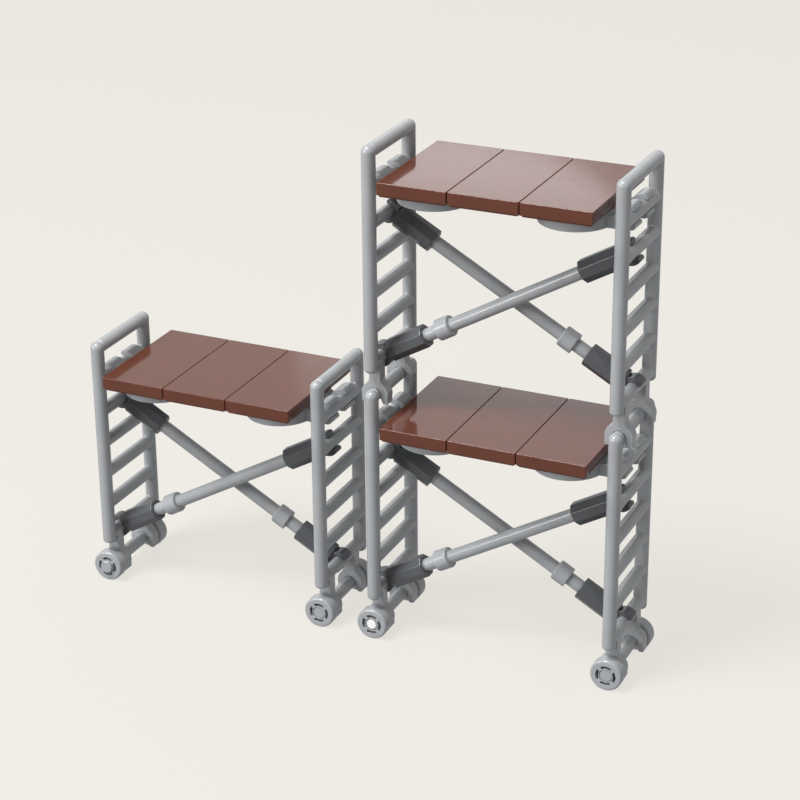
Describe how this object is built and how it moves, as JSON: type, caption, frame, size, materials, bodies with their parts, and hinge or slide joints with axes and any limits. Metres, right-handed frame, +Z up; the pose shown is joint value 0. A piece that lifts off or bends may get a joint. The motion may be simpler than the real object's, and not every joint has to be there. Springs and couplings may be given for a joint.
{
  "type": "baker scaffold",
  "caption": "Toy-scale baker scaffold that clips together: a low tower beside a two-tier tower, with ladder end frames, board decks, crossed brace rods and wheelsets.",
  "frame": {"origin": "on the floor under the wheels, at the middle of the whole object's length and depth", "axes": "+X along the decks from the low tower to the tall tower, +Y from front to back, +Z up"},
  "size_m": [0.134, 0.0318, 0.1173],
  "materials": {
    "light_grey_plastic": "glossy moulded light bluish grey",
    "dark_grey_plastic": "glossy moulded dark grey",
    "brown_plastic": "glossy moulded reddish brown"
  },
  "bodies": {
    "tall_tower": {"tall_lower_ladder_left": "light_grey_plastic", "tall_lower_ladder_right": "light_grey_plastic", "tall_lower_deck_bracket_left": "light_grey_plastic", "tall_lower_deck_bracket_right": "light_grey_plastic", "tall_lower_deck_board_left": "brown_plastic", "tall_lower_deck_board_middle": "brown_plastic", "tall_lower_deck_board_right": "brown_plastic", "tall_lower_rear_brace_upper_socket": "dark_grey_plastic", "tall_lower_rear_brace_lower_socket": "dark_grey_plastic", "tall_lower_front_brace_upper_socket": "dark_grey_plastic", "tall_lower_front_brace_lower_socket": "dark_grey_plastic", "tall_upper_ladder_left": "light_grey_plastic", "tall_upper_ladder_right": "light_grey_plastic", "tall_upper_deck_bracket_left": "light_grey_plastic", "tall_upper_deck_bracket_right": "light_grey_plastic", "tall_upper_deck_board_left": "brown_plastic", "tall_upper_deck_board_middle": "brown_plastic", "tall_upper_deck_board_right": "brown_plastic", "tall_upper_rear_brace_upper_socket": "dark_grey_plastic", "tall_upper_rear_brace_lower_socket": "dark_grey_plastic", "tall_upper_front_brace_upper_socket": "dark_grey_plastic", "tall_upper_front_brace_lower_socket": "dark_grey_plastic"},
    "low_tower": {"low_ladder_left": "light_grey_plastic", "low_ladder_right": "light_grey_plastic", "low_deck_bracket_left": "light_grey_plastic", "low_deck_bracket_right": "light_grey_plastic", "low_deck_board_left": "brown_plastic", "low_deck_board_middle": "brown_plastic", "low_deck_board_right": "brown_plastic", "low_rear_brace_upper_socket": "dark_grey_plastic", "low_rear_brace_lower_socket": "dark_grey_plastic", "low_front_brace_upper_socket": "dark_grey_plastic", "low_front_brace_lower_socket": "dark_grey_plastic"},
    "low_rear_brace_rod": {"low_rear_brace_rod": "light_grey_plastic"},
    "low_front_brace_rod": {"low_front_brace_rod": "light_grey_plastic"},
    "tall_lower_rear_brace_rod": {"tall_lower_rear_brace_rod": "light_grey_plastic"},
    "tall_lower_front_brace_rod": {"tall_lower_front_brace_rod": "light_grey_plastic"},
    "tall_upper_rear_brace_rod": {"tall_upper_rear_brace_rod": "light_grey_plastic"},
    "tall_upper_front_brace_rod": {"tall_upper_front_brace_rod": "light_grey_plastic"},
    "low_left_wheelset": {"low_left_axle": "light_grey_plastic", "low_left_wheel_front": "light_grey_plastic", "low_left_wheel_rear": "light_grey_plastic"},
    "low_right_wheelset": {"low_right_axle": "light_grey_plastic", "low_right_wheel_front": "light_grey_plastic", "low_right_wheel_rear": "light_grey_plastic"},
    "tall_left_wheelset": {"tall_left_axle": "light_grey_plastic", "tall_left_wheel_front": "light_grey_plastic", "tall_left_wheel_rear": "light_grey_plastic"},
    "tall_right_wheelset": {"tall_right_axle": "light_grey_plastic", "tall_right_wheel_front": "light_grey_plastic", "tall_right_wheel_rear": "light_grey_plastic"}
  },
  "joints": [
    {"name": "low_tower_roll", "type": "slide", "parent": "tall_tower", "child": "low_tower", "axis": [1, 0, 0], "range_m": [-0.04, 0.0045]},
    {"name": "low_rear_brace_spin", "type": "hinge", "parent": "low_tower", "child": "low_rear_brace_rod", "pos_m": [-0.035, -0.0001, 0.0277], "axis": [0.8705, 0, -0.4922], "continuous": true},
    {"name": "low_front_brace_spin", "type": "hinge", "parent": "low_tower", "child": "low_front_brace_rod", "pos_m": [-0.035, -0.0044, 0.0277], "axis": [-0.8705, 0, -0.4922], "continuous": true},
    {"name": "tall_lower_rear_brace_spin", "type": "hinge", "parent": "tall_tower", "child": "tall_lower_rear_brace_rod", "pos_m": [0.035, -0.0001, 0.0277], "axis": [0.8705, 0, -0.4922], "continuous": true},
    {"name": "tall_lower_front_brace_spin", "type": "hinge", "parent": "tall_tower", "child": "tall_lower_front_brace_rod", "pos_m": [0.035, -0.0044, 0.0277], "axis": [-0.8705, 0, -0.4922], "continuous": true},
    {"name": "tall_upper_rear_brace_spin", "type": "hinge", "parent": "tall_tower", "child": "tall_upper_rear_brace_rod", "pos_m": [0.035, 0.0005, 0.0837], "axis": [0.8705, 0, -0.4922], "continuous": true},
    {"name": "tall_upper_front_brace_spin", "type": "hinge", "parent": "tall_tower", "child": "tall_upper_front_brace_rod", "pos_m": [0.035, -0.0038, 0.0837], "axis": [-0.8705, 0, -0.4922], "continuous": true},
    {"name": "low_left_wheel_spin", "type": "hinge", "parent": "low_tower", "child": "low_left_wheelset", "pos_m": [-0.0633, 0, 0.0037], "axis": [0, 1, 0], "continuous": true},
    {"name": "low_right_wheel_spin", "type": "hinge", "parent": "low_tower", "child": "low_right_wheelset", "pos_m": [-0.0067, 0, 0.0037], "axis": [0, 1, 0], "continuous": true},
    {"name": "tall_left_wheel_spin", "type": "hinge", "parent": "tall_tower", "child": "tall_left_wheelset", "pos_m": [0.0067, 0, 0.0037], "axis": [0, 1, 0], "continuous": true},
    {"name": "tall_right_wheel_spin", "type": "hinge", "parent": "tall_tower", "child": "tall_right_wheelset", "pos_m": [0.0633, 0, 0.0037], "axis": [0, 1, 0], "continuous": true}
  ]
}
